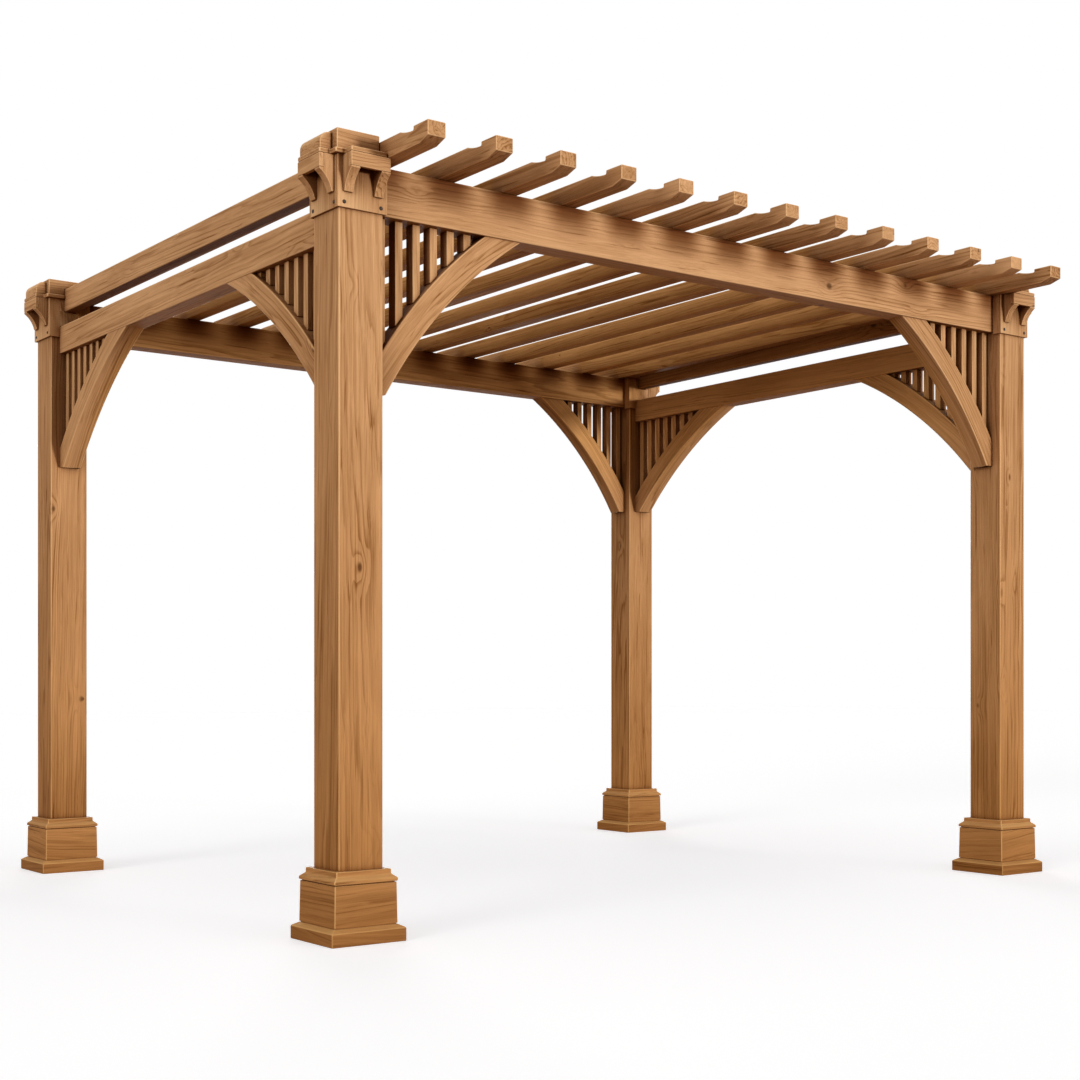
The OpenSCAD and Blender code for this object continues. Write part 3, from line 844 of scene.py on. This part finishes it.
def rafterOutline(half, tall):
    # a tail's top has a block at its end, a step down and a hollow that rises again; its underside is
    # cut slanting
    block, hollow, step = rafters["block"], rafters["hollow"], rafters["step"]
    bow = (hollow ** 2 + step ** 2) / (2 * step)
    run = np.linspace(0, hollow, rafters["hollowPoints"])
    rise = bow - np.sqrt(bow ** 2 - run ** 2)
    curve = np.stack([half - block - run, tall - step + rise], 1)
    tail = [(half - rafters["cut"], 0), (half, tall - rafters["endTall"]), (half, tall),
            (half - block, tall), *curve]
    return np.concatenate([tail, (np.array(tail) * (-1, 1))[::-1]])


for name in sorted(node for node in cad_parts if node.startswith("rafter_")):
    low, high = np.array(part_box(name))
    size, middle = high - low, (low + high) / 2
    outline = rafterOutline(size[1] / 2, size[2])
    shell = plankShell(outline, -size[0] / 2, size[0] / 2, rafters["rim"], rafters["rim"])
    board = placeBoard(shell, [yAxis, zAxis, xAxis], (middle[0], middle[1], low[2]), [0, 1, 2])
    joinBoards(name + "_timber", [board], woods["rafter_wood"], [name])
print("rafters laid")


# Bolts

bolts = dict(washerR=0.0058, washer=0.0008, headR=0.0047, dome=0.0028, domePoints=6, flatTop=0.15,
             inset=0.022, lift=0.016, steps=24)


def boltHead(place, out):
    # a washer and a domed head: (radius, height) turned round the bolt's axis
    t = np.linspace(0, np.pi / 2 - bolts["flatTop"], bolts["domePoints"])
    dome = np.stack([bolts["headR"] * np.cos(t), bolts["washer"] + bolts["dome"] * np.sin(t)], 1)
    profile = np.array([(bolts["washerR"], 0), (bolts["washerR"], bolts["washer"]), *dome])
    turn = np.linspace(0, 2 * np.pi, bolts["steps"], endpoint=False)
    side = np.cross(out, zAxis)
    spoke = np.cos(turn)[:, None] * side + np.sin(turn)[:, None] * zAxis
    verts = place + profile[:, :1, None] * spoke + profile[:, 1:, None] * out
    fall = np.array([(1, 0), (0, 1), *np.stack([np.cos(t), np.sin(t)], 1)])
    normals = fall[:, :1, None] * spoke + fall[:, 1:, None] * out
    rings, count = len(profile), len(turn)
    ring = np.arange(count)
    quads, caps = ringQuads(rings, count), [ring[::-1], ring + (rings - 1) * count]
    if np.linalg.det([spoke[0], spoke[count // 4], out]) < 0:
        quads, caps = quads[:, ::-1], [face[::-1] for face in caps]
    faced = quads.size + 2 * count
    return dict(verts=verts.reshape(-1, 3), normals=normals.reshape(-1, 3), arris=np.zeros(rings * count),
                quads=quads, caps=caps, grain=np.zeros((faced, 3)), tint=np.zeros(faced))


for corner in corners:
    middle, axes = cornerFrame(corner)
    low, high = np.array(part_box("collar_" + corner))
    half = (high[0] - low[0]) / 2
    heads = []
    for out, along in ((-xAxis, yAxis), (-yAxis, xAxis)):
        for s in (-1, 1):
            spot = (out * half + along * s * (half - bolts["inset"])) @ axes
            heads.append(boltHead(middle + spot + zAxis * (low[2] + bolts["lift"]), out @ axes))
    joinBoards("collar_" + corner + "_bolts", heads, boltSteel)
print("bolts driven")


# Stage

floorLook = dict(reach=30.0, shown=(0.8, 0.8, 0.8, 1), glow=(0.90, 0.937, 1, 1), strength=0.50,
                 bounce=(0.25, 0.112, 0.022, 1))
worldLook = dict(unseen=(1.0, 0.72, 0.38, 1), strength=0.11)
lights = {
    "keyLight": dict(towards=(-0.30, 0.95, -0.02), strength=2.75, spread=7),
    "fillLight": dict(towards=(0.92, 0.30, -0.12), strength=2.05, spread=30),
    "topLight": dict(towards=(0.05, 0.15, -0.98), strength=1.25, spread=80),
    "backLight": dict(towards=(-0.45, -0.85, -0.12), strength=1.9, spread=30),
}


def seenRay(tree):
    # 1 for what the camera sees, straight or mirrored
    ray = addNode(tree, "ShaderNodeLightPath").outputs
    mirrored = calc(tree, "MAXIMUM", ray["Is Glossy Ray"], ray["Is Transmission Ray"])
    return calc(tree, "MAXIMUM", ray["Is Camera Ray"], mirrored)


def stageFloor():
    # a pale floor that keeps the shadows, and throws a little warm light back up
    reach = floorLook["reach"]
    mesh = bpy.data.meshes.new("floor")
    outline = [(-reach, -reach, 0), (reach, -reach, 0), (reach, reach, 0), (-reach, reach, 0)]
    mesh.from_pydata(outline, [], [(0, 1, 2, 3)])
    floor = bpy.data.objects.new("floor", mesh)
    bpy.context.scene.collection.objects.link(floor)
    material = bpy.data.materials.new("paleFloor")
    material.use_nodes = True
    tree = material.node_tree
    shader = tree.nodes["Principled BSDF"]
    seen = seenRay(tree)
    feed(tree, shader.inputs["Base Color"], mixColour(tree, seen, floorLook["bounce"], floorLook["shown"]))
    feed(tree, shader.inputs["Emission Color"], mixColour(tree, seen, black, floorLook["glow"]))
    shader.inputs["Emission Strength"].default_value = floorLook["strength"]
    shader.inputs["Roughness"].default_value = 1.0
    shader.inputs["Specular IOR Level"].default_value = 0.0
    mesh.materials.append(material)


def stageWorld():
    # white to the camera, and a weak warm light to everything else
    world = bpy.data.worlds.new("studio")
    bpy.context.scene.world = world
    world.use_nodes = True
    tree = world.node_tree
    back = tree.nodes["Background"]
    seen = seenRay(tree)
    feed(tree, back.inputs["Color"], mixColour(tree, seen, worldLook["unseen"], white))
    feed(tree, back.inputs["Strength"], ease(tree, seen, 0.0, 1.0, worldLook["strength"], 1.0))


def softSun(name, towards, strength, spread):
    lamp = bpy.data.lights.new(name, "SUN")
    lamp.energy = strength
    lamp.angle = math.radians(spread)
    sun = bpy.data.objects.new(name, lamp)
    sun.rotation_euler = Vector(towards).to_track_quat("-Z", "Y").to_euler()
    bpy.context.scene.collection.objects.link(sun)


stageFloor()
stageWorld()
for name, lamp in lights.items():
    softSun(name, **lamp)
print("stage lit")


# Camera

# read off the photograph: 1080 by 1080 pixels, level, with its horizon below the middle
photo = dict(side=1080, focal=1684.7, horizon=679.0, yaw=36.6, place=(-4.021, -5.498, 0.772), sensor=36,
             farEnd=200)
camera = bpy.data.cameras.new("camera")
camera.sensor_width = photo["sensor"]
camera.lens = photo["focal"] / photo["side"] * camera.sensor_width
camera.shift_y = (photo["horizon"] - photo["side"] / 2) / photo["side"]
camera.clip_end = photo["farEnd"]
eye = bpy.data.objects.new("camera", camera)
eye.location = photo["place"]
eye.rotation_euler = (math.pi / 2, 0, -math.radians(photo["yaw"]))
bpy.context.scene.collection.objects.link(eye)
bpy.context.scene.camera = eye
bpy.context.scene.view_settings.view_transform = "Standard"
print("camera set")
